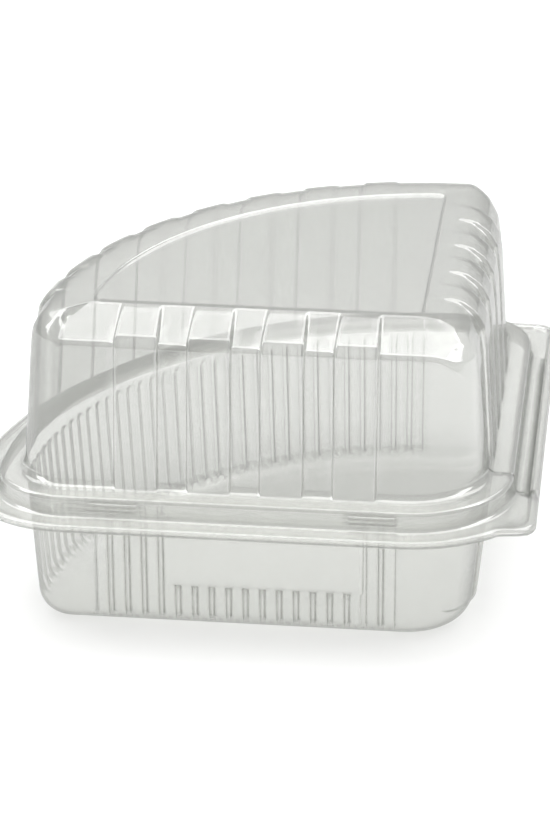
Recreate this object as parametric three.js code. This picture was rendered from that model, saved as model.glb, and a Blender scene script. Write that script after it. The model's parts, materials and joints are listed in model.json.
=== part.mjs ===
// Clear hinged container for a large slice of cake: a fluted wedge tray and a ribbed dome lid.
// Both are drawn from one thin sheet and meet at a fold along the right-hand straight side.
// Millimetres, +Z up, front wall towards -Y, the fold on the +X side, floor at z = 0.

import * as THREE from 'three';

// Plan of the rim, measured at the outer edge of the lid's ledge
const wedgeAngle = 90;
const arcRadius = 130.4;
const arcShift = 30.2;
const apexRadius = 31.4;
const cornerRadius = 21.8;
const smallestRadius = 2.5;
const plainStep = 8;

// Sheet and fit
const sheet = 0.45;
const nestGap = 0.35;
const flankInset = sheet * 0.7;

// Heights
const ledgeTop = 47.6;
const lidTop = 98.9;
const panelInset = 1.0;
const shoulderHeight = 92.0;
const skirtDrop = 6.1;

// Depths inwards from the ledge's outer edge
const flangeWidth = 8.7;
const foldReach = 7.7;
const lidFootDepth = 7.9;
const lidShoulderDepth = 10.3;
const lidTopDepth = 24.9;
const panelRimWidth = 2.6;
const trayTopDepth = 8.5;
const trayWallDepth = 11.6;
const floorDepth = 20.4;

// Rounded shoulders of the dome on the fold's side and on the arc
const sideShoulderStart = 22;
const sideShoulderFall = 15;
const arcShoulderStart = 18.6;
const arcShoulderFall = 11;

// Corner radii of the lid's dome towards the wedge's point
const topPointRadius = 3;
const shoulderPointRadius = 12.5;

// Ribs of the lid
const ribWidth = 13.4;
const ribPitch = 21.3;
const ribCount = 4;
const arcRibCount = 8;
const arcRibWidth = 13;
const arcRibPitch = 20.5;
const ribRise = 1.3;
const ribFlank = 0.8;

// Flutes of the tray
const fluteWidth = 3.3;
const flutePitch = 5;
const fluteCount = 18;
const arcFluteCount = 34;
const arcFlutePitch = 5.2;
const fluteRise = 1.1;
const fluteFlank = 0.8;
const floorBend = 8.2;

// Flat label panel in the tray's front wall
const panelLength = 56.8;
const panelCentre = 71.2;
const panelFoot = 15.8;

// Snap indents in the lid's front skirt
const snapLength = 15;
const snapSpacing = 75.6;
const snapRise = 0.7;

// Pattern middle, measured along each straight side from the wedge's sharp corner
const patternCentre = 77.2;
// Pattern middle on the arc, measured from the arc's own middle towards the fold
const arcPatternShift = -4.8;

// Hinge wing
const wingStart = 4.0;
const wingCorner = 5.8;
const rimBeadRise = 0.8;
const rimBeadWidth = 3.4;

const theta = THREE.MathUtils.degToRad(wedgeAngle);
const frontAlong = new THREE.Vector2(-1, 0);
const frontOut = new THREE.Vector2(0, -1);
const sideAlong = new THREE.Vector2(-Math.cos(theta), Math.sin(theta));
const sideOut = new THREE.Vector2(Math.sin(theta), Math.cos(theta));
const middleLine = frontAlong.clone().add(sideAlong).normalize();
const arcCentre = middleLine.clone().multiplyScalar(arcShift);
const middleAngle = middleLine.angle();
const arcReference = arcRadius - lidFootDepth;

// Point on a straight side, at a distance along it and a depth inside it
function onSide(along, out, distance, depth) {
  return along.clone().multiplyScalar(distance).addScaledVector(out, -depth);
}

// Centre of the rounding between a straight side and the arc
function cornerCentre(along, out, depth, radius) {
  const base = out.clone().multiplyScalar(-(depth + radius)).sub(arcCentre);
  const reach = arcRadius - depth - radius;
  const b = base.dot(along);
  const c = base.lengthSq() - reach * reach;
  const distance = -b + Math.sqrt(b * b - c);
  return onSide(along, out, distance, depth + radius);
}

// Turns a direction part of the way towards another one, the short way round
function between(from, to, share) {
  const start = Math.atan2(from.y, from.x);
  let sweep = Math.atan2(to.y, to.x) - start;
  while (sweep > Math.PI) sweep -= 2 * Math.PI;
  while (sweep < -Math.PI) sweep += 2 * Math.PI;
  const angle = start + sweep * share;
  return new THREE.Vector2(Math.cos(angle), Math.sin(angle));
}

// Point of the rounded wedge at a station, at a depth inside the rim
function planPoint(station, depth, pointRadius) {
  if (station.part === 'front') return onSide(frontAlong, frontOut, station.at, depth);
  if (station.part === 'side') return onSide(sideAlong, sideOut, station.at, depth);
  if (station.part === 'arc') {
    const angle = middleAngle - station.at / arcReference;
    const reach = arcRadius - depth;
    const spot = new THREE.Vector2(Math.cos(angle), Math.sin(angle));
    return spot.multiplyScalar(reach).add(arcCentre);
  }
  if (station.part === 'point') {
    const radius = Math.max(pointRadius ?? apexRadius - depth, smallestRadius);
    const inset = (depth + radius) / Math.sin(theta / 2);
    const centre = middleLine.clone().multiplyScalar(inset);
    return centre.addScaledVector(between(sideOut, frontOut, station.at), radius);
  }
  const radius = Math.max(cornerRadius - depth, smallestRadius);
  const atFront = station.part === 'frontCorner';
  const along = atFront ? frontAlong : sideAlong;
  const out = atFront ? frontOut : sideOut;
  const centre = cornerCentre(along, out, depth, radius);
  const towardsArc = centre.clone().sub(arcCentre).normalize();
  const share = atFront ? station.at : 1 - station.at;
  return centre.clone().addScaledVector(between(out, towardsArc, share), radius);
}

// Height share of a raised feature at a place along a wall: 0 beside it and 1 on top
function rise(at, centres, width, flank) {
  let best = 0;
  for (const centre of centres) {
    const inside = width / 2 - Math.abs(at - centre);
    best = Math.max(best, Math.min(1, Math.max(0, inside / flank)));
  }
  return best;
}

// Evenly spaced middles of a row of features
function row(count, pitch, middle) {
  const first = middle - (count - 1) * pitch / 2;
  return Array.from({ length: count }, (_, k) => first + k * pitch);
}

// Places along a wall where a row of raised features changes, with the way to each middle
function breaks(centres, width, flank) {
  const list = [];
  for (const centre of centres) {
    list.push({ at: centre - width / 2, inward: 1 });
    list.push({ at: centre - width / 2 + flank, inward: 1 });
    list.push({ at: centre + width / 2 - flank, inward: -1 });
    list.push({ at: centre + width / 2, inward: -1 });
  }
  return list;
}

// Plain places that keep the arc round between its outermost features and its ends
function plainArc(centres, width) {
  const centre = cornerCentre(frontAlong, frontOut, 0, cornerRadius).sub(arcCentre);
  const swing = Math.abs(THREE.MathUtils.euclideanModulo(centre.angle() - middleAngle, 2 * Math.PI));
  const end = Math.min(swing, 2 * Math.PI - swing) * arcReference;
  const list = [];
  for (const side of [-1, 1]) {
    const edge = Math.max(...centres.map((centre) => centre * side)) + width / 2;
    const steps = Math.max(1, Math.ceil((end - edge) / plainStep));
    for (let k = 1; k < steps; k++) {
      list.push({ at: side * (edge + (end - edge) * k / steps), main: true });
    }
  }
  return list;
}

// Stations round the wedge, from the point along the front, the arc and back along the side
function stationsFor(frontBreaks, sideBreaks, arcBreaks, pointShares, cornerSteps) {
  const list = [];
  const byPlace = (a, b) => a.at - b.at;
  for (const share of pointShares) list.push({ part: 'point', at: share, main: true });
  for (const item of [...frontBreaks].sort(byPlace)) list.push({ part: 'front', ...item });
  for (let k = 0; k <= cornerSteps; k++) {
    list.push({ part: 'frontCorner', at: k / cornerSteps, main: true });
  }
  for (const item of [...arcBreaks].sort(byPlace)) list.push({ part: 'arc', ...item });
  for (let k = 0; k <= cornerSteps; k++) {
    list.push({ part: 'sideCorner', at: k / cornerSteps, main: true });
  }
  for (const item of [...sideBreaks].sort(byPlace).reverse()) {
    list.push({ part: 'side', ...item });
  }
  list.forEach((station, order) => { station.order = order; });
  return list;
}

// Carries the flange out to the straight fold of the hinge wing, and past both rounded corners
function onWing(station, depth) {
  const reach = -depth * foldReach / flangeWidth;
  const edge = (at, out) => onSide(sideAlong, sideOut, at, -out);
  if (station.part === 'side') return edge(station.at, reach);
  if (station.part === 'point' && station.wing !== undefined) {
    const start = wingStart + (foldReach - reach) * 0.8;
    if (station.wing === 0) return edge(apexRadius / Math.tan(theta / 2), reach);
    if (station.wing === 1) return edge(start + wingCorner, reach);
    if (station.wing === 2) return edge(start + wingCorner * 0.35, reach - wingCorner * 0.25);
    return edge(start, reach - wingCorner * 0.75);
  }
  if (station.part === 'sideCorner') {
    const centre = cornerCentre(sideAlong, sideOut, -reach, wingCorner);
    const towardsArc = centre.clone().sub(arcCentre).normalize();
    const radius = wingCorner + (-depth - reach) * (1 - station.at) ** 2;
    return centre.clone().addScaledVector(between(sideOut, towardsArc, 1 - station.at), radius);
  }
  return null;
}

// How far a station follows the front's form of the section, the side's and the arc's
function formShares(station) {
  if (station.part === 'point') return { front: station.at, side: 1 - station.at, arc: 0 };
  if (station.part === 'frontCorner') return { front: 1 - station.at, side: 0, arc: station.at };
  if (station.part === 'sideCorner') return { front: 0, side: station.at, arc: 1 - station.at };
  return { front: 0, side: 0, arc: 0, [station.part]: 1 };
}

// A level's form at one station, blended from its three forms
function formAt(level, station) {
  const shares = formShares(station);
  const form = { depth: 0, height: 0, raisedDepth: 0, raisedHeight: 0 };
  for (const part of ['front', 'side', 'arc']) {
    for (const key of Object.keys(form)) form[key] += shares[part] * level.forms[part][key];
  }
  return form;
}

// One ring of the sheet: a height and a depth for every station. On the other face the flanks
// of raised parts move along the wall by flankShift, so that the sheet keeps its thickness.
function ring(stations, level, flankShift) {
  const used = stations.filter((station) => (level.coarse ? station.main : !station.rimOnly));
  return used.map((station) => {
    const share = level.share(station);
    const form = formAt(level, station);
    const depth = form.depth + (form.raisedDepth - form.depth) * share;
    const height = form.height + (form.raisedHeight - form.height) * share;
    const shift = (station.inward ?? 0) * flankShift;
    const seat = station.part === 'arc' || station.part === 'front' || station.part === 'side'
      ? { ...station, at: station.at + shift } : station;
    const wing = level.wing ? onWing(seat, depth) : null;
    const spot = wing ?? planPoint(seat, depth, level.pointRadius);
    return { order: station.order, spot, height };
  });
}

// A level of the section, the same all round and on raised parts unless told otherwise
function level(depth, height, extra = {}) {
  const front = {
    depth,
    height,
    raisedDepth: extra.raisedDepth ?? depth,
    raisedHeight: extra.raisedHeight ?? height,
  };
  return {
    forms: { front, side: extra.side ?? front, arc: extra.arc ?? front },
    share: extra.share ?? (() => 0),
    pointRadius: extra.pointRadius,
    coarse: extra.coarse ?? false,
    wing: extra.wing ?? false,
    frontOnly: extra.frontOnly ?? false,
  };
}

// Moves a section by the sheet's thickness: first point straight down, the rest along mitres
function offsetSection(points, thickness) {
  return points.map((point, k) => {
    if (k === 0) return [point[0], point[1] - thickness];
    if (k === points.length - 1) return [point[0], point[1] - thickness];
    const before = new THREE.Vector2(point[0] - points[k - 1][0], point[1] - points[k - 1][1]);
    const after = new THREE.Vector2(points[k + 1][0] - point[0], points[k + 1][1] - point[1]);
    before.normalize();
    after.normalize();
    const normalA = new THREE.Vector2(-before.y, before.x);
    const normalB = new THREE.Vector2(-after.y, after.x);
    const mitre = normalA.clone().add(normalB).normalize();
    const stretch = Math.min(1.6, 1 / Math.max(0.3, mitre.dot(normalA)));
    return [point[0] + mitre.x * thickness * stretch, point[1] + mitre.y * thickness * stretch];
  });
}

// The other face of the sheet
function backLevels(levels) {
  const back = levels.map((item) => ({ ...item, forms: {} }));
  for (const part of ['front', 'side', 'arc']) {
    const forms = levels.map((item) => item.forms[part]);
    const low = offsetSection(forms.map((form) => [form.depth, form.height]), sheet);
    const high = offsetSection(forms.map((form) => [form.raisedDepth, form.raisedHeight]), sheet);
    back.forEach((item, k) => {
      const [depth, height] = low[k];
      const [raisedDepth, raisedHeight] = high[k];
      item.forms[part] = { depth, height, raisedDepth, raisedHeight };
    });
  }
  back.forEach((item, k) => {
    if (item.pointRadius === undefined) return;
    item.pointRadius -= item.forms.front.depth - levels[k].forms.front.depth;
  });
  return back.filter((item) => !item.frontOnly);
}

// Closed sheet through rings of its upper face and rings of its lower face
function sheetGeometry(stations, levels, flankShift) {
  const rings = levels.map((item) => ring(stations, item, 0));
  const backRings = backLevels(levels).map((item) => ring(stations, item, flankShift)).reverse();
  const all = [...rings, ...backRings];
  const positions = [];
  const triangles = [];
  for (const loop of all) {
    for (const item of loop) {
      item.index = positions.length / 3;
      positions.push(item.spot.x, item.spot.y, item.height);
    }
  }
  for (let r = 0; r + 1 < all.length; r++) {
    stitch(all[r], all[r + 1], triangles, r >= rings.length);
  }
  cap(all[0], positions, triangles, true);
  cap(all[all.length - 1], positions, triangles, false);
  const geometry = new THREE.BufferGeometry();
  geometry.setAttribute('position', new THREE.Float32BufferAttribute(positions, 3));
  geometry.setIndex(triangles);
  return outward(geometry);
}

// Triangles between two rings that may hold different stations. The lower face of the sheet is
// split along the same diagonals as the upper face, so that the two stay parallel.
function stitch(a, b, triangles, lowerFace) {
  const lastOrder = Math.max(a[a.length - 1].order, b[b.length - 1].order) + 1;
  const orderAt = (loop, k) => {
    if (k > loop.length) return Infinity;
    return k === loop.length ? lastOrder : loop[k].order;
  };
  const at = (loop, k) => loop[k % loop.length].index;
  let i = 0;
  let j = 0;
  while (i < a.length || j < b.length) {
    const nextA = orderAt(a, i + 1);
    const nextB = orderAt(b, j + 1);
    const stepA = nextA < nextB || (nextA === nextB && !lowerFace);
    if (stepA) {
      triangles.push(at(a, i), at(a, i + 1), at(b, j));
      i += 1;
    } else {
      triangles.push(at(a, i), at(b, j + 1), at(b, j));
      j += 1;
    }
  }
}

// Flat face across a ring, as a fan from its middle
function cap(loop, positions, triangles, flip) {
  const centre = positions.length / 3;
  const middle = new THREE.Vector2();
  for (const item of loop) middle.addScaledVector(item.spot, 1 / loop.length);
  positions.push(middle.x, middle.y, loop[0].height);
  loop.forEach((item, k) => {
    const next = loop[(k + 1) % loop.length];
    const corners = [centre, item.index, next.index];
    triangles.push(...(flip ? corners.reverse() : corners));
  });
}

// Turns every face round if the solid is inside out
function outward(geometry) {
  const place = geometry.getAttribute('position');
  const index = geometry.getIndex();
  const a = new THREE.Vector3();
  const b = new THREE.Vector3();
  const c = new THREE.Vector3();
  let volume = 0;
  for (let k = 0; k < index.count; k += 3) {
    a.fromBufferAttribute(place, index.getX(k));
    b.fromBufferAttribute(place, index.getX(k + 1));
    c.fromBufferAttribute(place, index.getX(k + 2));
    volume += a.dot(b.cross(c));
  }
  if (volume < 0) {
    for (let k = 0; k < index.count; k += 3) {
      const first = index.getX(k);
      index.setX(k, index.getX(k + 1));
      index.setX(k + 1, first);
    }
  }
  geometry.computeVertexNormals();
  return geometry;
}

// Shares of the point's rounding: four steps up to the wing's end, then on to the front
const wingShare = 0.5;
const pointSteps = 6;
const pointShares = [];
for (let k = 0; k < 4; k++) pointShares.push(wingShare * k / 4);
for (let k = 0; k <= pointSteps; k++) {
  pointShares.push(wingShare + (1 - wingShare) * k / pointSteps);
}

function markWing(stations) {
  stations.slice(0, 4).forEach((station, k) => { station.wing = k; });
  return stations;
}

// Lid
const ribCentres = row(ribCount, ribPitch, patternCentre);
const arcRibCentres = row(arcRibCount, arcRibPitch, arcPatternShift);
const snapCentres = row(2, snapSpacing, patternCentre);
const snapFlank = 0.8;

function lidStations() {
  const ribs = breaks(ribCentres, ribWidth, ribFlank);
  const snaps = breaks(snapCentres, snapLength, snapFlank);
  const plainSnaps = snaps.map((item) => ({ at: item.at, main: true, rimOnly: true }));
  const arc = breaks(arcRibCentres, arcRibWidth, ribFlank);
  arc.forEach((item, k) => { item.main = k % 4 === 0 || k % 4 === 3; });
  arc.push(...arcRibCentres.map((at) => ({ at, main: true })));
  const plain = plainArc(arcRibCentres, arcRibWidth);
  arc.push(...plain.map((item) => ({ ...item, rimOnly: true })));
  return markWing(stationsFor([...ribs, ...plainSnaps], ribs, arc, pointShares, 6));
}

function ribShare(station) {
  if (station.part === 'arc') return rise(station.at, arcRibCentres, arcRibWidth, ribFlank);
  if (station.part !== 'front' && station.part !== 'side') return 0;
  return rise(station.at, ribCentres, ribWidth, ribFlank);
}

function snapShare(station) {
  return station.part === 'front' ? rise(station.at, snapCentres, snapLength, snapFlank) : 0;
}

// Point of a rounded shoulder, from the flat top at 0 degrees to the wall at 90
function roundShoulder(start, fall, angle) {
  const turned = THREE.MathUtils.degToRad(angle);
  const point = (from, to, drop) => (
    [from - (from - to) * Math.sin(turned), lidTop - drop * (1 - Math.cos(turned))]);
  const [depth, height] = point(start, lidShoulderDepth, fall);
  const ribEnd = lidShoulderDepth - ribRise;
  const [raisedDepth, raisedHeight] = point(start - ribRise * 0.4, ribEnd, fall - ribRise * 0.6);
  return { depth, height, raisedDepth, raisedHeight };
}

function lidLevels() {
  const footHeight = ledgeTop + 1.6;
  const foot = (depth, height, raisedDepth, raisedHeight) => (
    level(depth, height, { raisedDepth, raisedHeight, share: ribShare }));
  const rib = (depth, height, raisedDepth, raisedHeight, pointRadius, angle) => {
    const side = roundShoulder(sideShoulderStart, sideShoulderFall, angle);
    const arc = roundShoulder(arcShoulderStart, arcShoulderFall, angle);
    const extra = { raisedDepth, raisedHeight, share: ribShare, pointRadius, side, arc };
    return level(depth, height, extra);
  };
  const list = [];
  const rimDepth = lidTopDepth + panelRimWidth;
  const d = lidShoulderDepth;
  const fall = lidTop - shoulderHeight;
  list.push(level(rimDepth + 0.9, lidTop - panelInset, { pointRadius: topPointRadius }));
  list.push(level(rimDepth, lidTop, { pointRadius: topPointRadius }));
  list.push(level(lidTopDepth, lidTop, { pointRadius: topPointRadius }));
  const r = shoulderPointRadius;
  list.push(rib(lidTopDepth - 0.6, lidTop - 0.3, d + 8.4, lidTop - 0.2, topPointRadius + 1, 15));
  list.push(rib(d + 7.2, shoulderHeight + fall * 0.5, d + 3.6, lidTop - 1.3, r * 0.6, 40));
  list.push(rib(d + 0.8, shoulderHeight + 0.4, d - 0.2, shoulderHeight + 3.3, r, 65));
  list.push(rib(d, shoulderHeight - 0.6, d - ribRise, shoulderHeight - 1.2, r, 90));
  list.push(foot(lidFootDepth, footHeight, lidFootDepth - ribRise, footHeight));
  const coarse = true;
  list.push(level(lidFootDepth - 1.4, ledgeTop + 0.3));
  list.push(level(lidFootDepth - 1.9, ledgeTop, { coarse }));
  list.push(level(0.9, ledgeTop, { coarse }));
  list.push(level(0, ledgeTop - 0.9, { coarse }));
  const beadDrops = [1.4, 2, 2.7, 3.3, 3.9];
  const beadRises = [0, 1, 0, 1, 0];
  beadDrops.forEach((drop, k) => {
    const depth = -0.1 * drop;
    const raisedDepth = depth - snapRise * beadRises[k];
    list.push(level(depth, ledgeTop - drop, {
      raisedDepth, share: snapShare, coarse, frontOnly: true,
    }));
  });
  const flangeTop = ledgeTop - skirtDrop;
  const wing = true;
  const frontOnly = true;
  list.push(level(-0.5, flangeTop + 0.9, { coarse }));
  list.push(level(-1.4, flangeTop, { coarse }));
  const beadStart = flangeWidth - rimBeadWidth;
  list.push(level(-beadStart, flangeTop, { coarse, wing }));
  list.push(level(-beadStart - 0.8, flangeTop + rimBeadRise, { coarse, wing, frontOnly }));
  list.push(level(-flangeWidth + 0.8, flangeTop + rimBeadRise, { coarse, wing, frontOnly }));
  list.push(level(-flangeWidth, flangeTop, { coarse, wing }));
  return list;
}

// Tray
const fluteCentres = row(fluteCount, flutePitch, patternCentre);
const arcFluteCentres = row(arcFluteCount, arcFlutePitch, arcPatternShift);

function trayStations() {
  const flutes = breaks(fluteCentres, fluteWidth, fluteFlank);
  const arc = breaks(arcFluteCentres, fluteWidth, fluteFlank);
  arc.forEach((item, k) => { item.main = k % 8 === 0; });
  arc.push(...plainArc(arcFluteCentres, fluteWidth));
  return markWing(stationsFor(flutes, flutes, arc, pointShares, 6));
}

function fluteShare(station) {
  if (station.part === 'arc') return rise(station.at, arcFluteCentres, fluteWidth, fluteFlank);
  if (station.part !== 'front' && station.part !== 'side') return 0;
  return rise(station.at, fluteCentres, fluteWidth, fluteFlank);
}

function panelShare(station) {
  const onPanel = station.part === 'front' && Math.abs(station.at - panelCentre) < panelLength / 2;
  return onPanel ? 1 : fluteShare(station);
}

function trayLevels() {
  const list = [];
  const bend = floorDepth - trayWallDepth;
  const fluted = (depth, height, share, size = 1) => (
    level(depth, height, { raisedDepth: depth - fluteRise * size, share }));
  const slope = (trayWallDepth - trayTopDepth) / (ledgeTop - floorBend);
  const depthAt = (height) => trayWallDepth - slope * (height - floorBend);
  list.push(level(floorDepth, sheet));
  list.push(fluted(trayWallDepth + bend * 0.35, sheet + floorBend * 0.2, fluteShare, 0.9));
  list.push(fluted(trayWallDepth, sheet + floorBend, fluteShare));
  list.push(fluted(depthAt(panelFoot), panelFoot, fluteShare));
  list.push(fluted(depthAt(panelFoot + 0.8), panelFoot + 0.8, panelShare));
  const nestTop = ledgeTop - sheet - nestGap;
  list.push(fluted(depthAt(nestTop - 3.6), nestTop - 3.6, panelShare));
  const coarse = true;
  list.push(level(depthAt(nestTop - 2.2), nestTop - 2.2));
  list.push(level(depthAt(nestTop - 1.6), nestTop - 1.6, { coarse }));
  list.push(level(trayTopDepth - 1.3, nestTop, { coarse }));
  list.push(level(2, nestTop, { coarse }));
  list.push(level(1.25, nestTop - 0.8, { coarse }));
  const flangeTop = ledgeTop - skirtDrop - sheet - nestGap;
  list.push(level(0.45, flangeTop + 1.2, { coarse }));
  list.push(level(-0.6, flangeTop, { coarse }));
  list.push(level(-flangeWidth, flangeTop, { coarse, wing: true }));
  return list;
}

const clearSheet = () => new THREE.MeshStandardMaterial({
  color: 0xdde1da,
  roughness: 0.08,
  metalness: 0,
  transparent: true,
  opacity: 0.35,
});

const tray = new THREE.Mesh(
  sheetGeometry(trayStations(), trayLevels(), -flankInset),
  clearSheet(),
);
tray.name = 'tray';
const lid = new THREE.Mesh(
  sheetGeometry(lidStations(), lidLevels(), flankInset),
  clearSheet(),
);
lid.name = 'lid';

// The container stands with the middle of its outline over the origin
const container = new THREE.Group();
container.add(tray, lid);
const box = new THREE.Box3().setFromObject(container);
const middle = box.getCenter(new THREE.Vector3());
container.position.set(-middle.x, -middle.y, -box.min.z);

export default container;
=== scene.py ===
# Looks of the clear hinged cake container: tray and lid as drawn sheets, clear material,
# pale floor, soft studio light and the photograph's viewpoint. Blender 4.5, metres, +Z up.
import json
import math

import bpy
import numpy as np
from mathutils import Matrix, Vector


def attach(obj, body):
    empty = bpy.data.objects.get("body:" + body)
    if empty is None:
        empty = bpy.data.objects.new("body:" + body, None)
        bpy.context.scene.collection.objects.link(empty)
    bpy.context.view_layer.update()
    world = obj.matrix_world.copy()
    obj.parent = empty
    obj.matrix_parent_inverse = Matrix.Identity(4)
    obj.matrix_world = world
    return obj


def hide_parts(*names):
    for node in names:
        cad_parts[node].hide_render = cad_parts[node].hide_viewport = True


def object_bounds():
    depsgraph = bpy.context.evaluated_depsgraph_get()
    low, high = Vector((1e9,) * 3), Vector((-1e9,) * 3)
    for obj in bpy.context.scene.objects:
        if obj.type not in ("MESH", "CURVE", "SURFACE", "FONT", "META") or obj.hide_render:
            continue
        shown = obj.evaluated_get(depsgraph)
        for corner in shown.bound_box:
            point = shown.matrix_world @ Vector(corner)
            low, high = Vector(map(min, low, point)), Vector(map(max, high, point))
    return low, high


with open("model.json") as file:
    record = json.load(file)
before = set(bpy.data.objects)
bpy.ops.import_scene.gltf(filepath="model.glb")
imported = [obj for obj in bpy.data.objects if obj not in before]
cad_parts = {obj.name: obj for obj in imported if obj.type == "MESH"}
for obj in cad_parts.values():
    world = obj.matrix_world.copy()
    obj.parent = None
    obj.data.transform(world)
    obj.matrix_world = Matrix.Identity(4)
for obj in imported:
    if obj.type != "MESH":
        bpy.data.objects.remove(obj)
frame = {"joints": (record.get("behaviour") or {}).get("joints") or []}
cad_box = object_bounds()

# Plan of the rim in millimetres, from the wedge's sharp corner: front along -X, side along +Y
ARC_RADIUS = 130.4
ARC_SHIFT = 30.2
ARC_MIDDLE = math.radians(135)
APEX_RADIUS = 31.4
CORNER_RADIUS = 21.8
SMALLEST_RADIUS = 2.5

# Sheet, the gap where the tray nests in the lid, and the gap beside the fold
SHEET = 0.45
NEST_GAP = 0.35
FOLD_GAP = 0.2

# Heights
LEDGE_TOP = 47.6
LID_TOP = 98.9
PANEL_INSET = 1.0
SKIRT_DROP = 6.1

# Depths inwards from the ledge's outer edge
FLANGE = 8.7
FOLD = 7.7
FOOT = 7.9
FOOT_BEND = 1.6
SHOULDER_DEPTH = 10.3
TOP_DEPTH = 24.9
PANEL_RIM = 2.6
INNER_DEPTH = TOP_DEPTH + PANEL_RIM + 0.9
TRAY_TOP = 8.5
TRAY_WALL = 11.6
FLOOR = 20.4

# Radius of the wedge's sharp corner at the top and at the shoulder, used deeper than DOME_DEPTH
TOP_POINT = 3.0
SHOULDER_POINT = 12.5
DOME_DEPTH = 8.5

# Ribs of the lid, with the marks that their flanks need on either side of each middle
RIB_WIDTH = 13.4
RIB_PITCH = 21.3
RIB_COUNT = 4
ARC_RIB_COUNT = 8
ARC_RIB_WIDTH = 13.0
ARC_RIB_PITCH = 20.5
ARC_FLANK = 1.5
RIB_RISE = 1.3
RIB_MARKS = (0, 3, 5.0, 5.6, 5.85, 6.1, 6.35, 6.6, 6.85)

# Flutes of the tray, with their marks and the shape of their rounded ends
FLUTE_WIDTH = 3.3
FLUTE_PITCH = 5.0
FLUTE_COUNT = 18
ARC_FLUTE_COUNT = 34
ARC_FLUTE_PITCH = 5.2
FLUTE_RISE = 1.1
FLUTE_FLANK = 0.7
FLUTE_FOOT = SHEET + 4.4
FLUTE_FOOT_END = 0.9
FLUTE_TOP = 42.6
FLUTE_TOP_END = 1.4
FLUTE_MARKS = (0, 0.95, 1.18, 1.42, 1.65)

# Levels of the tray: angles of the bend above the floor, then heights up the wall
FLOOR_BEND = 8.2
WALL_TOP = 44.6
RIM_START = 44.7
BEND_ANGLES = (12, 24, 34, 40, 43, 46, 49, 52, 55, 58, 61, 66, 72, 81, 90)
WALL_HEIGHTS = (12, 15, 15.5, 15.9, 16.3, 17, 22, 27, 32, 37, 42.2, 42.8, 43.4, 44, WALL_TOP)

# Label panel of the tray
PANEL_LENGTH = 56.8
PANEL_CENTRE = 71.2
PANEL_FOOT = 15.8
PANEL_TOP = 44.0
PANEL_EDGE = 0.6
PANEL_TOP_EDGE = 0.8

# Snaps: shallow pockets in the skirt with two beads across each, by their drop below the ledge
SNAP_LENGTH = 15.0
SNAP_SPACING = 75.6
SNAP_END = 0.9
SNAP_POCKET = 0.5
SNAP_RISE = 1.12
SNAP_FROM = 1.3
SNAP_TO = 4.2
SNAP_BEADS = (2.0, 3.3)
SNAP_BEAD_HALF = 0.55
SNAP_DROPS = (1.5, 2.0, 2.5, 2.8, 3.3, 3.8, 4.2)

# Middles of the rows of ribs and flutes, on a straight side and on the arc
PATTERN = 77.2
ARC_PATTERN = -4.8

# Bead on the flange, and the wing that carries the flange out to the fold. A knot of its small
# corner is a share of the corner's size inwards and along, reached at a share of the point's turn
BEAD_RISE = 0.8
BEAD_WIDTH = 3.4
WING_DEPTH = -FLANGE + BEAD_WIDTH + 0.2
WING_START = 4.0
WING_SLANT = 0.8
WING_CORNER = 5.8
WING_KNOTS = ((0.0, 1.0), (0.12, 0.5), (0.4, 0.14), (0.75, 0.0))
WING_SHARES = (0, 0.125, 0.2, 0.28, 0.375, 0.5)

# Grid: longest step, closest marks, points in a rounding and the share of a stretch it may take
LONGEST = 3.4
LONGEST_RIM = 3.0
CLOSEST_MARKS = 0.12
ROUNDING_STEPS = 4
ROUNDING_SHARE = 0.46
BOX_MARGIN = 1e-6

# Painted lines: bends tighter than about FOLD_WIDTH get painted shade and painted shine,
# more faintly where these shares say
FOLD_WIDTH = 1.0
SHORTEST_RUN = 0.25
LAST_TOP_LEVEL = 11
WALL_LINES = 0.6
ARC_LINES = 0.3
PANEL_LINES = 0.8
FLUTE_LINES = 0.18

# Tints of the clear sheet, seen flat on, slanted and edge on, with painted shade along a
# fold and a lighter front rim that is a painted reflection
LID_FLAT = (0.832, 0.835, 0.825)
TRAY_FLAT = (0.935, 0.937, 0.93)
RIM_PAINTED_LIGHT = (0.945, 0.947, 0.938)
SEEN_SLANTED = 0.97
SLANTED_AT = 0.6
FOLD_PAINTED_SHADE = (0.76, 0.765, 0.75)
SEEN_EDGE = (0.32, 0.33, 0.31)
SHADOW_TINT = (0.99, 0.99, 0.988)

# Shine, haze and faint ripples of the clear sheet; the shine along folds is a painted shine
REFLECTS_FLAT = 0.05
REFLECTS_EDGE = 0.5
STEEPNESS = 4.0
FOLD_SHINE = 0.35
GLOSS_ROUGHNESS = 0.12
HAZE = 0.1
HAZE_COLOUR = (0.85, 0.855, 0.835)
RIPPLE_SCALE = 55.0
RIPPLE_STRENGTH = 0.3
RIPPLE_HEIGHT = 0.0006

# Shift from the plan's frame to the shared one, by the hinge's place along the side
HINGE = frame["joints"][0]["pos_m"]
HINGE_ALONG = 80.0
SHIFT_X = HINGE[0] * 1000 - FOLD - FOLD_GAP
SHIFT_Y = HINGE[1] * 1000 - HINGE_ALONG

ARC_C = ARC_SHIFT / math.sqrt(2)
ARC_REFERENCE = ARC_RADIUS - FOOT
FRONT, SIDE, ARC, POINT, FRONT_CORNER, SIDE_CORNER = range(6)


def turn(a, b, share):
    """Direction part of the way from a to b, the short way round."""
    start = math.atan2(a[1], a[0])
    sweep = (math.atan2(b[1], b[0]) - start + math.pi) % (2 * math.pi) - math.pi
    angle = start + sweep * share
    return math.cos(angle), math.sin(angle)


def on_side(part, distance, depth):
    """Point on the front or the hinge side, at a distance along it and a depth inside it."""
    return (-distance, depth) if part == FRONT else (-depth, distance)


def corner_centre(part, depth, radius):
    """Centre of the rounding between a straight side and the arc."""
    offset = depth + radius
    reach = ARC_RADIUS - offset
    distance = ARC_C + math.sqrt(reach * reach - (offset - ARC_C) ** 2)
    return on_side(part, distance, offset)


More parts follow.
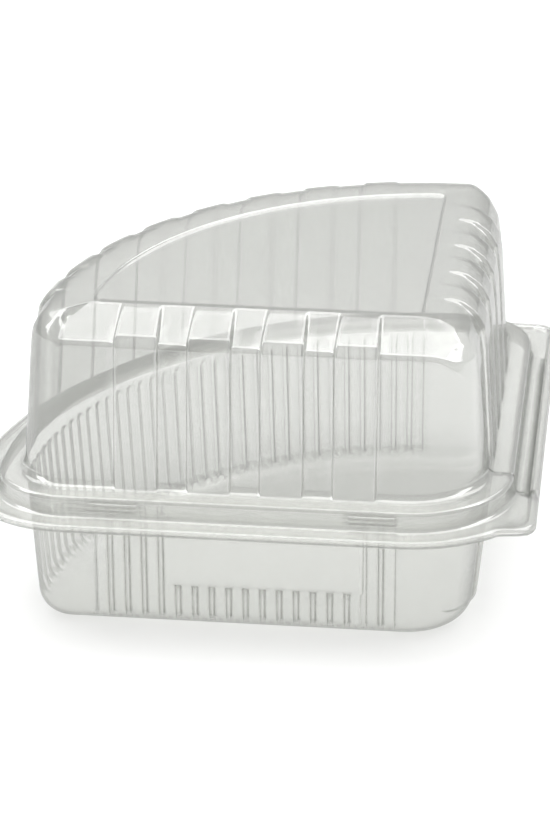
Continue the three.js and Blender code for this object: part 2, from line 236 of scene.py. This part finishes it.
def plan_point(station, depth, point_radius=None):
    """Point of the rounded wedge at a station, at a depth inside the rim."""
    part, at = station[0], station[1]
    if part in (FRONT, SIDE):
        return on_side(part, at, depth)
    if part == ARC:
        angle = ARC_MIDDLE - at / ARC_REFERENCE
        reach = ARC_RADIUS - depth
        return -ARC_C + math.cos(angle) * reach, ARC_C + math.sin(angle) * reach
    if part == POINT:
        radius = APEX_RADIUS - depth if point_radius is None else point_radius
        radius = max(radius, SMALLEST_RADIUS)
        x, y = turn((1, 0), (0, -1), at)
        return -(depth + radius) + x * radius, depth + radius + y * radius
    radius = max(CORNER_RADIUS - depth, SMALLEST_RADIUS)
    at_front = part == FRONT_CORNER
    cx, cy = corner_centre(FRONT if at_front else SIDE, depth, radius)
    out = (0, -1) if at_front else (1, 0)
    x, y = turn(out, (cx + ARC_C, cy - ARC_C), at if at_front else 1 - at)
    return cx + x * radius, cy + y * radius


def on_wing(station, depth):
    """The flange carried out to the straight fold of the hinge, past both rounded corners."""
    part, at = station[0], station[1]
    reach = -depth * FOLD / FLANGE
    if part == SIDE:
        return reach, at
    if part == POINT and at < 0.5:
        # from the straight fold round a small corner back to the rounded front
        start = WING_START + (FOLD - reach) * WING_SLANT
        knots = [(reach, APEX_RADIUS)]
        knots += [(reach - WING_CORNER * a, start + WING_CORNER * b) for a, b in WING_KNOTS]
        knots.append(plan_point((POINT, 0.5), depth))
        k = max(i for i in range(len(knots) - 1) if WING_SHARES[i] <= at)
        s = (at - WING_SHARES[k]) / (WING_SHARES[k + 1] - WING_SHARES[k])
        here, there = knots[k], knots[k + 1]
        return here[0] * (1 - s) + there[0] * s, here[1] * (1 - s) + there[1] * s
    if part == SIDE_CORNER:
        cx, cy = corner_centre(SIDE, -reach, WING_CORNER)
        radius = WING_CORNER + (-depth - reach) * (1 - at) ** 2
        x, y = turn((1, 0), (cx + ARC_C, cy - ARC_C), 1 - at)
        return cx + x * radius, cy + y * radius
    return None


def row(count, pitch, middle):
    """Middles of a row of ribs, flutes or snaps."""
    first = middle - (count - 1) * pitch / 2
    return [first + k * pitch for k in range(count)]


def smooth(t):
    """Ease from 0 to 1."""
    t = min(1.0, max(0.0, t))
    return t * t * (3 - 2 * t)


def corner_points(points, radii, steps):
    """A section with each inner corner rounded, the same number of points for any shape."""
    out = [tuple(points[0])]
    for k in range(1, len(points) - 1):
        a, b, c = (np.array(points[i], float) for i in (k - 1, k, k + 1))
        la, lc = np.linalg.norm(a - b), np.linalg.norm(c - b)
        cut = min(radii[k], ROUNDING_SHARE * la, ROUNDING_SHARE * lc)
        start, end = b + (a - b) / la * cut, b + (c - b) / lc * cut
        for s in np.linspace(0, 1, steps):
            out.append(tuple((1 - s) ** 2 * start + 2 * s * (1 - s) * b + s * s * end))
    out.append(tuple(points[-1]))
    return out


def split(points, longest):
    """How many pieces each stretch of a section is cut into."""
    return [max(1, math.ceil(math.dist(a, b) / longest)) for a, b in zip(points, points[1:])]


def cut_up(points, pieces):
    """A section with each stretch cut into its number of equal pieces."""
    out = [points[0]]
    for (a, b), n in zip(zip(points, points[1:]), pieces):
        for i in range(1, n + 1):
            out.append(tuple(np.array(a) * (1 - i / n) + np.array(b) * (i / n)))
    return out


def straight_spread(start, end, marks, longest):
    """Places from start to end that hold the marks and leave no long gap."""
    places = sorted({round(p, 4) for p in [start, end, *marks] if start <= p <= end})
    kept = [places[0]]
    for before, p in zip(places, places[1:]):
        gap = p - kept[-1]
        if gap < CLOSEST_MARKS and p != places[-1]:
            continue
        steps = math.ceil(gap / longest)
        for i in range(1, steps):
            kept.append(before + (p - before) * i / steps)
        kept.append(p)
    return sorted(set(kept))


def stations(front_marks, arc_marks, longest, point_steps, corner_steps, deepest):
    """Round the wedge from the point along the front, the arc and back down the hinge side."""
    radius = max(CORNER_RADIUS - deepest, SMALLEST_RADIUS)
    centre_x, centre_y = corner_centre(FRONT, deepest, radius)
    end = min(-centre_x, -corner_centre(FRONT, 0, CORNER_RADIUS)[0])
    inner = APEX_RADIUS
    turned = math.atan2(centre_y - ARC_C, centre_x + ARC_C) % (2 * math.pi)
    arc_end = ARC_REFERENCE * (turned - ARC_MIDDLE)
    result = [(POINT, k / point_steps) for k in range(point_steps)]
    result += [(FRONT, p) for p in straight_spread(inner, end, front_marks, longest)]
    result += [(FRONT_CORNER, k / corner_steps) for k in range(corner_steps + 1)]
    result += [(ARC, p) for p in straight_spread(-arc_end, arc_end, arc_marks, longest)]
    result += [(SIDE_CORNER, k / corner_steps) for k in range(corner_steps + 1)]
    result += [(SIDE, p) for p in straight_spread(inner, end, front_marks, longest)[::-1]]
    return result


def sharpness(places, normals):
    """How sharply the sheet bends at each point of its grid, from 0 to 1."""
    def bend(axis):
        """Turn of the normal for each millimetre along one way of the grid."""
        ahead, behind = (np.roll(normals, way, axis) for way in (-1, 1))
        turned = np.linalg.norm(ahead - behind, axis=2)
        run = np.linalg.norm(np.roll(places, -1, axis) - np.roll(places, 1, axis), axis=2)
        value = turned / np.maximum(run, SHORTEST_RUN)
        if axis == 0:
            value[0] = value[-1] = 0
        return value
    return 1 - np.exp(-np.hypot(bend(0), bend(1)) * FOLD_WIDTH)


def sheet_mesh(name, loops, calm, rim_painted_light, thickness):
    """Closed thin solid: loops is (levels, stations, 3) of the outer face, in millimetres.
    calm says how strongly each point's bend shows as painted shade and painted shine, and the
    rim share how far the point is in the front rim, which is painted lighter as a painted
    reflection."""
    outer = np.array(loops, float)
    levels, count = outer.shape[:2]
    across = np.roll(outer, -1, 1) - np.roll(outer, 1, 1)
    along = np.empty_like(outer)
    along[1:-1] = outer[2:] - outer[:-2]
    along[0] = outer[1] - outer[0]
    along[-1] = outer[-1] - outer[-2]
    normal = np.cross(along, across)
    size = np.linalg.norm(normal, axis=2, keepdims=True)
    normal = np.divide(normal, size, out=np.zeros_like(normal), where=size > 1e-9)
    flat = np.array([0.0, 0.0, 1.0])
    normal[0] = flat * np.sign(normal[1][:, 2].mean() or 1)
    if normal[0][0, 2] < 0:
        normal = -normal
    inner = outer - normal * thickness
    middle_out = outer[0].mean(0)
    middle_in = inner[0].mean(0)
    verts = np.concatenate([outer.reshape(-1, 3), inner.reshape(-1, 3), [middle_out], [middle_in]])
    faces = []
    shift = levels * count
    for r in range(levels - 1):
        for s in range(count):
            t = (s + 1) % count
            a, b = r * count + s, r * count + t
            c, d = b + count, a + count
            faces.append((a, d, c, b))
            faces.append((a + shift, b + shift, c + shift, d + shift))
    last = (levels - 1) * count
    for s in range(count):
        t = (s + 1) % count
        faces.append((last + s, last + s + shift, last + t + shift, last + t))
        faces.append((len(verts) - 2, s, t))
        faces.append((len(verts) - 1, t + shift, s + shift))
    verts = (verts + np.array([SHIFT_X, SHIFT_Y, 0])) / 1000
    # a few points of the tray's flange at its far corner go 0.2 mm past the CAD box, so the
    # sheets are trimmed to that box
    box_low, box_high = np.array(cad_box[0]) + BOX_MARGIN, np.array(cad_box[1]) - BOX_MARGIN
    verts = np.clip(verts, box_low, box_high)
    mesh = bpy.data.meshes.new(name)
    mesh.from_pydata([tuple(v) for v in verts], [], faces)
    # painted shade and painted shine along the sheet's sharp bends, scaled by calm
    painted_folds = np.minimum(sharpness(outer, normal) * np.array(calm), 1).ravel()
    values = np.concatenate([painted_folds, painted_folds, [0.0, 0.0]]).astype(np.float32)
    mesh.attributes.new("painted_fold", "FLOAT", "POINT").data.foreach_set("value", values)
    # share of the front rim, which the material paints lighter as a painted reflection
    rim_painted_light = np.array(rim_painted_light, float).ravel()
    rim_painted_light = np.concatenate([rim_painted_light, rim_painted_light, [0.0, 0.0]]).astype(np.float32)
    mesh.attributes.new("rim", "FLOAT", "POINT").data.foreach_set("value", rim_painted_light)
    mesh.update()
    mesh.shade_smooth()
    for face in mesh.polygons:
        if len(face.vertices) == 3:
            face.use_smooth = False
    piece = bpy.data.objects.new(name, mesh)
    bpy.context.scene.collection.objects.link(piece)
    return piece


RIBS = row(RIB_COUNT, RIB_PITCH, PATTERN)
ARC_RIBS = row(ARC_RIB_COUNT, ARC_RIB_PITCH, ARC_PATTERN)
FLUTES = row(FLUTE_COUNT, FLUTE_PITCH, PATTERN)
ARC_FLUTES = row(ARC_FLUTE_COUNT, ARC_FLUTE_PITCH, ARC_PATTERN)
SNAPS = row(2, SNAP_SPACING, PATTERN)


def marks_round(centres, offsets):
    """Places at each offset on both sides of each centre."""
    return [c + sign * o for c in centres for o in offsets for sign in (-1, 1)]


# Shoulder of the lid's dome: where it leaves the flat top, and its width and fall
SIDE_SHOULDER = (22.5, 12.2, 15.5)
SIDE_RIB_SHOULDER = (20.5, 11.5, 14.0)
ARC_SHOULDER = (18.6, 8.3, 11.0)
ARC_RIB_SHOULDER = (17.6, 8.6, 10.0)
SHOULDER_ANGLES = (0, 22, 45, 68, 90)


def round_shoulder(start, width, fall):
    """Rounded shoulder of a section, from the flat top at 0 degrees to the wall at 90."""
    turns = [math.radians(angle) for angle in SHOULDER_ANGLES]
    return [(start - width * math.sin(a), LID_TOP - fall * (1 - math.cos(a))) for a in turns]


def weights(station):
    """How far a station's section is the front's, the hinge side's and the arc's."""
    part, at = station
    if part == POINT:
        front = smooth((at - 0.3) / 0.7)
        return front, 1 - front, 0.0
    if part == FRONT_CORNER:
        arc = smooth(at / 0.3)
        return 1 - arc, 0.0, arc
    if part == SIDE_CORNER:
        return 0.0, smooth(at), 1 - smooth(at)
    return {FRONT: (1.0, 0.0, 0.0), SIDE: (0.0, 1.0, 0.0), ARC: (0.0, 0.0, 1.0)}[part]


def place_at(station, depth, point_radius=None):
    """Point at a depth inside the rim, on the hinge wing where the flange reaches it."""
    spot = on_wing(station, depth) if depth < WING_DEPTH else None
    return plan_point(station, depth, point_radius) if spot is None else spot


# Lid
def lid_sections():
    """Sections (depth, height) of the front, hinge side and arc, each plain and on a rib, and
    at every point the sharp corner's radius, the rib's flank and its change of width."""
    rim = TOP_DEPTH + PANEL_RIM
    flange = LEDGE_TOP - SKIRT_DROP
    # front flats and ribs from the flat top's edge down to the wall
    front_low = [(TOP_DEPTH, LID_TOP), (19.8, 96.5), (15.2, 94.4), (11.0, 92.5),
                 (SHOULDER_DEPTH, 91.2)]
    front_high = [(TOP_DEPTH, LID_TOP), (21.5, 98.5), (15.5, 96.7), (10.6, 94.9),
                  (SHOULDER_DEPTH - RIB_RISE, 91.8)]
    shoulders = [front_low, front_high]
    for shape in (SIDE_SHOULDER, SIDE_RIB_SHOULDER, ARC_SHOULDER, ARC_RIB_SHOULDER):
        shoulders.append(round_shoulder(*shape))
    inner = [(INNER_DEPTH, LID_TOP - PANEL_INSET), (rim, LID_TOP)]
    low_foot = [(FOOT, LEDGE_TOP + FOOT_BEND)]
    high_foot = [(FOOT - RIB_RISE, LEDGE_TOP + FOOT_BEND)]
    bead_out, bead_in = -FLANGE + 0.8, -FLANGE + BEAD_WIDTH
    skirt = [(FOOT - FOOT_BEND, LEDGE_TOP), (0.4, LEDGE_TOP), (-0.15, LEDGE_TOP - 1.2),
             *[(-0.1 * drop, LEDGE_TOP - drop) for drop in SNAP_DROPS],
             (-0.5, flange + 0.9), (-1.3, flange), (bead_in, flange),
             (bead_in - 0.8, flange + BEAD_RISE), (bead_out, flange + BEAD_RISE),
             (-FLANGE, flange)]
    radii = [0.5, 0.35, 0.7, 1.6, 1.4, 0.9, 1.2, 1.0, 1.0, 0.7, 0.3,
             *[0.05] * len(SNAP_DROPS), 0.6, 0.6, 0.5, 0.5, 0.5, 0.3]
    extra = [(TOP_POINT, 1, 0), (TOP_POINT, 1, 0), (TOP_POINT, 1, -0.6), (6, 1, -0.4), (9, 1, 0),
             (SHOULDER_POINT, 1, 0.2), (SHOULDER_POINT, 0.9, 0.2), (APEX_RADIUS - FOOT, 0.7, 0)]
    extra += [(APEX_RADIUS - d, 0.8, 0) for d, _ in skirt]
    sections = []
    for k, shoulder in enumerate(shoulders):
        foot = high_foot if k % 2 else low_foot
        sections.append(corner_points(inner + shoulder + foot + skirt, radii, ROUNDING_STEPS))
    pieces = [min(a, 7) for a in split(sections[0], LONGEST)]
    sections = [np.array(cut_up(one, pieces)) for one in sections]
    extra = [extra[0]] + [e for e in extra[1:-1] for _ in range(ROUNDING_STEPS)] + [extra[-1]]
    return sections, cut_up(extra, pieces)


def rib_share(station, flank, wider):
    """How far a station is up a rib of the lid, from 0 between the ribs to 1 on top of one."""
    part, at = station
    if part not in (FRONT, SIDE, ARC):
        return 0.0
    on_arc = part == ARC
    width = (ARC_RIB_WIDTH if on_arc else RIB_WIDTH) + wider
    near = min(abs(at - c) for c in (ARC_RIBS if on_arc else RIBS))
    return smooth((width / 2 - near) / (flank * (ARC_FLANK if on_arc else 1.0)))


def snap_shift(station, drop):
    """How far the skirt moves inwards in a snap's pocket, or outwards on its beads."""
    if station[0] != FRONT or not SNAP_FROM < drop < SNAP_TO:
        return 0.0
    near = min(abs(station[1] - c) for c in SNAPS)
    inside = smooth((SNAP_LENGTH / 2 - near) / SNAP_END)
    bead = sum(max(0.0, 1 - ((drop - b) / SNAP_BEAD_HALF) ** 2) for b in SNAP_BEADS)
    return inside * (SNAP_POCKET - SNAP_RISE * min(1.0, bead))


def make_lid():
    """Dome, ledge, skirt and flange of the lid as one drawn sheet."""
    sections, extra = lid_sections()
    marks = marks_round(RIBS, RIB_MARKS)
    marks += marks_round(SNAPS, (SNAP_LENGTH / 2, SNAP_LENGTH / 2 - 0.8))
    arc_marks = marks_round(ARC_RIBS, RIB_MARKS)
    places = stations(marks, arc_marks, LONGEST, 36, 16, INNER_DEPTH)
    wall_from = min(k for k, item in enumerate(extra) if item[0] > SHOULDER_POINT + 1)
    rim_from = min(k for k, item in enumerate(extra) if item[0] > APEX_RADIUS - FOOT + 0.5)
    loops, calm, rim_light_shares = [], [], []
    for k, (radius, flank, wider) in enumerate(extra):
        # how strongly each bend is painted with shade and shine
        lines = WALL_LINES if k >= wall_from else 1.0
        arc_lines = ARC_LINES if LAST_TOP_LEVEL < k < rim_from else lines
        calm.append([arc_lines if place[0] == ARC else lines for place in places])
        # the front rim is painted lighter, a painted reflection
        rim_light_shares.append([weights(place)[0] * (k >= rim_from) for place in places])
        loop = []
        for station in places:
            w = weights(station)
            low = sum(w[i] * sections[2 * i][k] for i in range(3))
            high = sum(w[i] * sections[2 * i + 1][k] for i in range(3))
            at, z = low + (high - low) * rib_share(station, flank, wider)
            at += snap_shift(station, LEDGE_TOP - z)
            x, y = place_at(station, at, radius if at > DOME_DEPTH else None)
            loop.append((x, y, z))
        loops.append(loop)
    return sheet_mesh("clear_lid", loops, calm, rim_light_shares, SHEET)


# Tray
def tray_section():
    """Section (depth, height) up the tray's bend and wall, and over its ledge and flange."""
    bend = FLOOR - TRAY_WALL
    nest = LEDGE_TOP - SHEET - NEST_GAP
    flange = LEDGE_TOP - SKIRT_DROP - SHEET - NEST_GAP
    slope = (TRAY_WALL - TRAY_TOP) / (LEDGE_TOP - FLOOR_BEND)
    wall = [(FLOOR, SHEET)]
    for turned in BEND_ANGLES:
        angle = math.radians(turned)
        wall.append((FLOOR - math.sin(angle) * bend, SHEET + (1 - math.cos(angle)) * FLOOR_BEND))
    wall += [(TRAY_WALL - slope * (height - FLOOR_BEND), height) for height in WALL_HEIGHTS]
    top = [wall[-1], (TRAY_TOP - 0.5, nest - 1.4), (TRAY_TOP - 1.5, nest), (1.9, nest),
           (1.15, nest - 0.9), (0.5, flange + 1.2), (-0.7, flange), (-FLANGE, flange)]
    top = corner_points(top, [0.7] * len(top), ROUNDING_STEPS)
    pieces = [min(a, 6) for a in split(top, LONGEST_RIM)]
    return wall, cut_up(top, pieces)[1:]


def flute_share(station, height):
    """How far a station is up a flute or the label panel of the tray, from 0 to 1."""
    part, at = station
    if part not in (FRONT, SIDE, ARC):
        return 0.0
    near = min(abs(at - c) for c in (ARC_FLUTES if part == ARC else FLUTES))
    low_end = max(0.0, FLUTE_FOOT - height) * FLUTE_FOOT_END
    top_end = max(0.0, height - FLUTE_TOP) * FLUTE_TOP_END
    inside = FLUTE_WIDTH / 2 - math.hypot(near, low_end, top_end)
    share = smooth(inside / FLUTE_FLANK)
    if part == FRONT and height < PANEL_TOP:
        across = (PANEL_LENGTH / 2 - abs(at - PANEL_CENTRE)) / PANEL_EDGE
        up = (height - PANEL_FOOT) / PANEL_EDGE
        under = (PANEL_TOP - height) / PANEL_TOP_EDGE
        share = max(share, smooth(min(across, up, under) + 0.5))
    return share


def tray_lines(place, height):
    """How strongly the tray's bends show as painted shade and painted shine: the panel's outline
    and the floor's bend the most.
    """
    part, at = place
    off_middle = abs(at - PANEL_CENTRE)
    if part == FRONT and off_middle < PANEL_LENGTH / 2 + 1 and abs(height - PANEL_FOOT) < 1.2:
        return 1.0
    off_edge = abs(off_middle - PANEL_LENGTH / 2)
    if part == FRONT and off_edge < 1 and PANEL_FOOT < height < PANEL_TOP:
        return PANEL_LINES
    return 1.0 if 1.5 < height < 6 else FLUTE_LINES


def make_tray():
    """Floor, fluted walls, label panel, ledge and flange of the tray as one drawn sheet."""
    wall, top = tray_section()
    marks = marks_round(FLUTES, FLUTE_MARKS)
    half = PANEL_LENGTH / 2
    marks += marks_round([PANEL_CENTRE], (half + 0.5, half, half - PANEL_EDGE))
    places = stations(marks, marks_round(ARC_FLUTES, FLUTE_MARKS), LONGEST, 32, 14, FLOOR)
    loops, calm, rim_light_shares = [], [], []
    for k, (depth, height) in enumerate(wall + top):
        # how strongly each bend is painted with shade and shine
        calm.append([tray_lines(place, height) for place in places])
        # the front rim is painted lighter, a painted reflection
        rim_light_shares.append([weights(place)[0] * (height > RIM_START) for place in places])
        loop = []
        for station in places:
            share = flute_share(station, height) if k < len(wall) else 0.0
            x, y = place_at(station, depth - FLUTE_RISE * share)
            loop.append((x, y, height))
        loops.append(loop)
    return sheet_mesh("clear_tray", loops, calm, rim_light_shares, SHEET)


def clear_plastic(name, flat, seed):
    """Clear thermoformed sheet: reflects by its angle, grey-green and darker seen edge-on, with
    painted shade and painted shine along its folds and a front rim painted lighter as a painted
    reflection.
    """
    material = bpy.data.materials.new(name)
    material.use_nodes = True
    tree = material.node_tree
    tree.nodes.clear()
    new, link = tree.nodes.new, tree.links.new
    output, mix = new("ShaderNodeOutputMaterial"), new("ShaderNodeMixShader")
    through, gloss = new("ShaderNodeBsdfTransparent"), new("ShaderNodeBsdfGlossy")
    gloss.inputs["Color"].default_value = (1, 1, 1, 1)
    gloss.inputs["Roughness"].default_value = GLOSS_ROUGHNESS
    steep, mirror = new("ShaderNodeMath"), new("ShaderNodeMapRange")
    steep.operation = "POWER"
    steep.inputs[1].default_value = STEEPNESS
    mirror.inputs["To Min"].default_value = REFLECTS_FLAT
    mirror.inputs["To Max"].default_value = REFLECTS_EDGE
    facing = new("ShaderNodeLayerWeight")
    facing.inputs["Blend"].default_value = 0.5
    ramp = new("ShaderNodeValToRGB")
    for place, colour in ((0.0, flat), (1.0, SEEN_EDGE)):
        ramp.color_ramp.elements[int(place)].position = place
        ramp.color_ramp.elements[int(place)].color = (*colour, 1)
    middle = ramp.color_ramp.elements.new(SLANTED_AT)
    middle.color = (*(c * SEEN_SLANTED for c in flat), 1)
    coords, place = new("ShaderNodeTexCoord"), new("ShaderNodeMapping")
    place.inputs["Location"].default_value = (seed, seed * 0.37, 0)
    noise, bump = new("ShaderNodeTexNoise"), new("ShaderNodeBump")
    noise.inputs["Scale"].default_value = RIPPLE_SCALE
    noise.inputs["Detail"].default_value = 1.0
    bump.inputs["Strength"].default_value = RIPPLE_STRENGTH
    bump.inputs["Distance"].default_value = RIPPLE_HEIGHT
    link(coords.outputs["Object"], place.inputs["Vector"])
    link(place.outputs["Vector"], noise.inputs["Vector"])
    link(noise.outputs["Fac"], bump.inputs["Height"])
    link(bump.outputs["Normal"], gloss.inputs["Normal"])
    link(facing.outputs["Facing"], ramp.inputs["Fac"])
    # painted shade: the tint is multiplied darker along sharp folds
    painted_fold, darker = new("ShaderNodeAttribute"), new("ShaderNodeMix")
    painted_fold.attribute_name = "painted_fold"
    darker.data_type, darker.blend_type = "RGBA", "MULTIPLY"
    darker.inputs["B"].default_value = (*FOLD_PAINTED_SHADE, 1)
    link(painted_fold.outputs["Fac"], darker.inputs["Factor"])
    # painted reflection: the front rim's tint is lighter
    rim, lighter = new("ShaderNodeAttribute"), new("ShaderNodeMix")
    rim.attribute_name = "rim"
    lighter.data_type = "RGBA"
    lighter.inputs["B"].default_value = (*RIM_PAINTED_LIGHT, 1)
    link(rim.outputs["Fac"], lighter.inputs["Factor"])
    link(ramp.outputs["Color"], lighter.inputs["A"])
    link(lighter.outputs["Result"], darker.inputs["A"])
    link(darker.outputs["Result"], through.inputs["Color"])
    # painted shine: reflection is raised along sharp folds
    shine = new("ShaderNodeMath")
    haze, hazy = new("ShaderNodeBsdfDiffuse"), new("ShaderNodeMixShader")
    shine.operation, shine.use_clamp = "MULTIPLY_ADD", True
    shine.inputs[1].default_value = FOLD_SHINE
    link(facing.outputs["Facing"], steep.inputs[0])
    link(steep.outputs["Value"], mirror.inputs["Value"])
    link(painted_fold.outputs["Fac"], shine.inputs[0])
    link(mirror.outputs["Result"], shine.inputs[2])
    link(shine.outputs["Value"], mix.inputs["Fac"])
    haze.inputs["Color"].default_value = (*HAZE_COLOUR, 1)
    hazy.inputs["Fac"].default_value = HAZE
    link(mix.outputs["Shader"], hazy.inputs[1])
    link(haze.outputs["BSDF"], hazy.inputs[2])
    link(through.outputs["BSDF"], mix.inputs[1])
    link(gloss.outputs["BSDF"], mix.inputs[2])
    # shadows pass through almost unchanged
    lamp, clear = new("ShaderNodeLightPath"), new("ShaderNodeBsdfTransparent")
    both = new("ShaderNodeMixShader")
    clear.inputs["Color"].default_value = (*SHADOW_TINT, 1)
    link(lamp.outputs["Is Shadow Ray"], both.inputs["Fac"])
    link(hazy.outputs["Shader"], both.inputs[1])
    link(clear.outputs["BSDF"], both.inputs[2])
    link(both.outputs["Shader"], output.inputs["Surface"])
    return material


lid = make_lid()
tray = make_tray()
lid.data.materials.append(clear_plastic("clear_lid_sheet", LID_FLAT, 1.3))
tray.data.materials.append(clear_plastic("clear_tray_sheet", TRAY_FLAT, 4.1))
for piece, body in ((lid, "lid"), (tray, "tray")):
    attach(piece, body)
    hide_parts(body)

# Floor of the studio, just under the container
FLOOR_HALF = 6.0
FLOOR_DROP = 0.0002
corners = [(x * FLOOR_HALF, y * FLOOR_HALF, 0) for x, y in ((-1, -1), (1, -1), (1, 1), (-1, 1))]
mesh = bpy.data.meshes.new("floor")
mesh.from_pydata(corners, [], [(0, 1, 2, 3)])
floor = bpy.data.objects.new("floor", mesh)
bpy.context.scene.collection.objects.link(floor)
paint = bpy.data.materials.new("pale_floor")
paint.use_nodes = True
surface = paint.node_tree.nodes["Principled BSDF"]
surface.inputs["Base Color"].default_value = (0.9, 0.9, 0.9, 1)
surface.inputs["Roughness"].default_value = 0.7
surface.inputs["Specular IOR Level"].default_value = 0.2
mesh.materials.append(paint)
floor.location.z = -FLOOR_DROP


def area_light(name, place, width, height, power):
    """A rectangular lamp that points at the container."""
    data = bpy.data.lights.new(name, "AREA")
    data.shape = "RECTANGLE"
    data.size, data.size_y = width, height
    data.energy = power
    light = bpy.data.objects.new(name, data)
    light.location = place
    light.rotation_euler = (AIM - Vector(place)).to_track_quat("-Z", "Y").to_euler()
    bpy.context.scene.collection.objects.link(light)


AIM = Vector((0, 0, 0.05))
area_light("overhead", (-0.05, 0.3, 1.15), 2.0, 1.5, 18)
area_light("left", (-1.1, -0.3, 0.9), 0.5, 0.8, 5)
area_light("right", (1.1, 0.1, 0.9), 0.5, 0.8, 4.5)

# Grey room that is darker towards the horizon
ROOM_LOW = (0.5, 0.503, 0.5)
ROOM_HIGH = (0.68, 0.68, 0.68)
world = bpy.data.worlds.new("studio")
bpy.context.scene.world = world
world.use_nodes = True
tree = world.node_tree
room = tree.nodes["Background"]
room.inputs["Strength"].default_value = 1.0
coords = tree.nodes.new("ShaderNodeTexCoord")
parts = tree.nodes.new("ShaderNodeSeparateXYZ")
shade = tree.nodes.new("ShaderNodeValToRGB")
shade.color_ramp.elements[0].position = 0.0
shade.color_ramp.elements[0].color = (*ROOM_LOW, 1)
shade.color_ramp.elements[1].position = 0.9
shade.color_ramp.elements[1].color = (*ROOM_HIGH, 1)
tree.links.new(coords.outputs["Generated"], parts.inputs["Vector"])
tree.links.new(parts.outputs["Z"], shade.inputs["Fac"])
tree.links.new(shade.outputs["Color"], room.inputs["Color"])

scene = bpy.context.scene
scene.view_settings.view_transform = "Standard"
scene.cycles.use_denoising = True
scene.cycles.max_bounces = 6
scene.cycles.transparent_max_bounces = 40
scene.cycles.caustics_reflective = False

# Camera at the photograph's viewpoint: turn, tilt and roll in radians, focal length in pixels
# of a picture 825 high, and the eye in the plan's frame
YAW, PITCH, ROLL = 0.106, 0.422, 0.004
FOCAL = 4024.306
PHOTO_HEIGHT = 825
SENSOR = 36
EYE = (43.54, -1044.25, 549.10)
forward = np.array([0, math.cos(PITCH), -math.sin(PITCH)])
right = np.array([1.0, 0, 0])
up = np.cross(right, forward)
cos_yaw, sin_yaw = math.cos(YAW), math.sin(YAW)
turn_z = np.array([[cos_yaw, -sin_yaw, 0], [sin_yaw, cos_yaw, 0], [0, 0, 1]])
forward, right, up = (turn_z @ v for v in (forward, right, up))
cos_roll, sin_roll = math.cos(ROLL), math.sin(ROLL)
right, up = cos_roll * right + sin_roll * up, -sin_roll * right + cos_roll * up
camera_data = bpy.data.cameras.new("camera")
camera_data.sensor_width = SENSOR
camera_data.lens = FOCAL * SENSOR / PHOTO_HEIGHT
camera = bpy.data.objects.new("camera", camera_data)
spot = Vector(((EYE[0] + SHIFT_X) / 1000, (EYE[1] + SHIFT_Y) / 1000, EYE[2] / 1000))
axes = Matrix((right, up, -forward)).transposed().to_4x4()
camera.matrix_world = Matrix.Translation(spot) @ axes
scene.collection.objects.link(camera)
scene.camera = camera
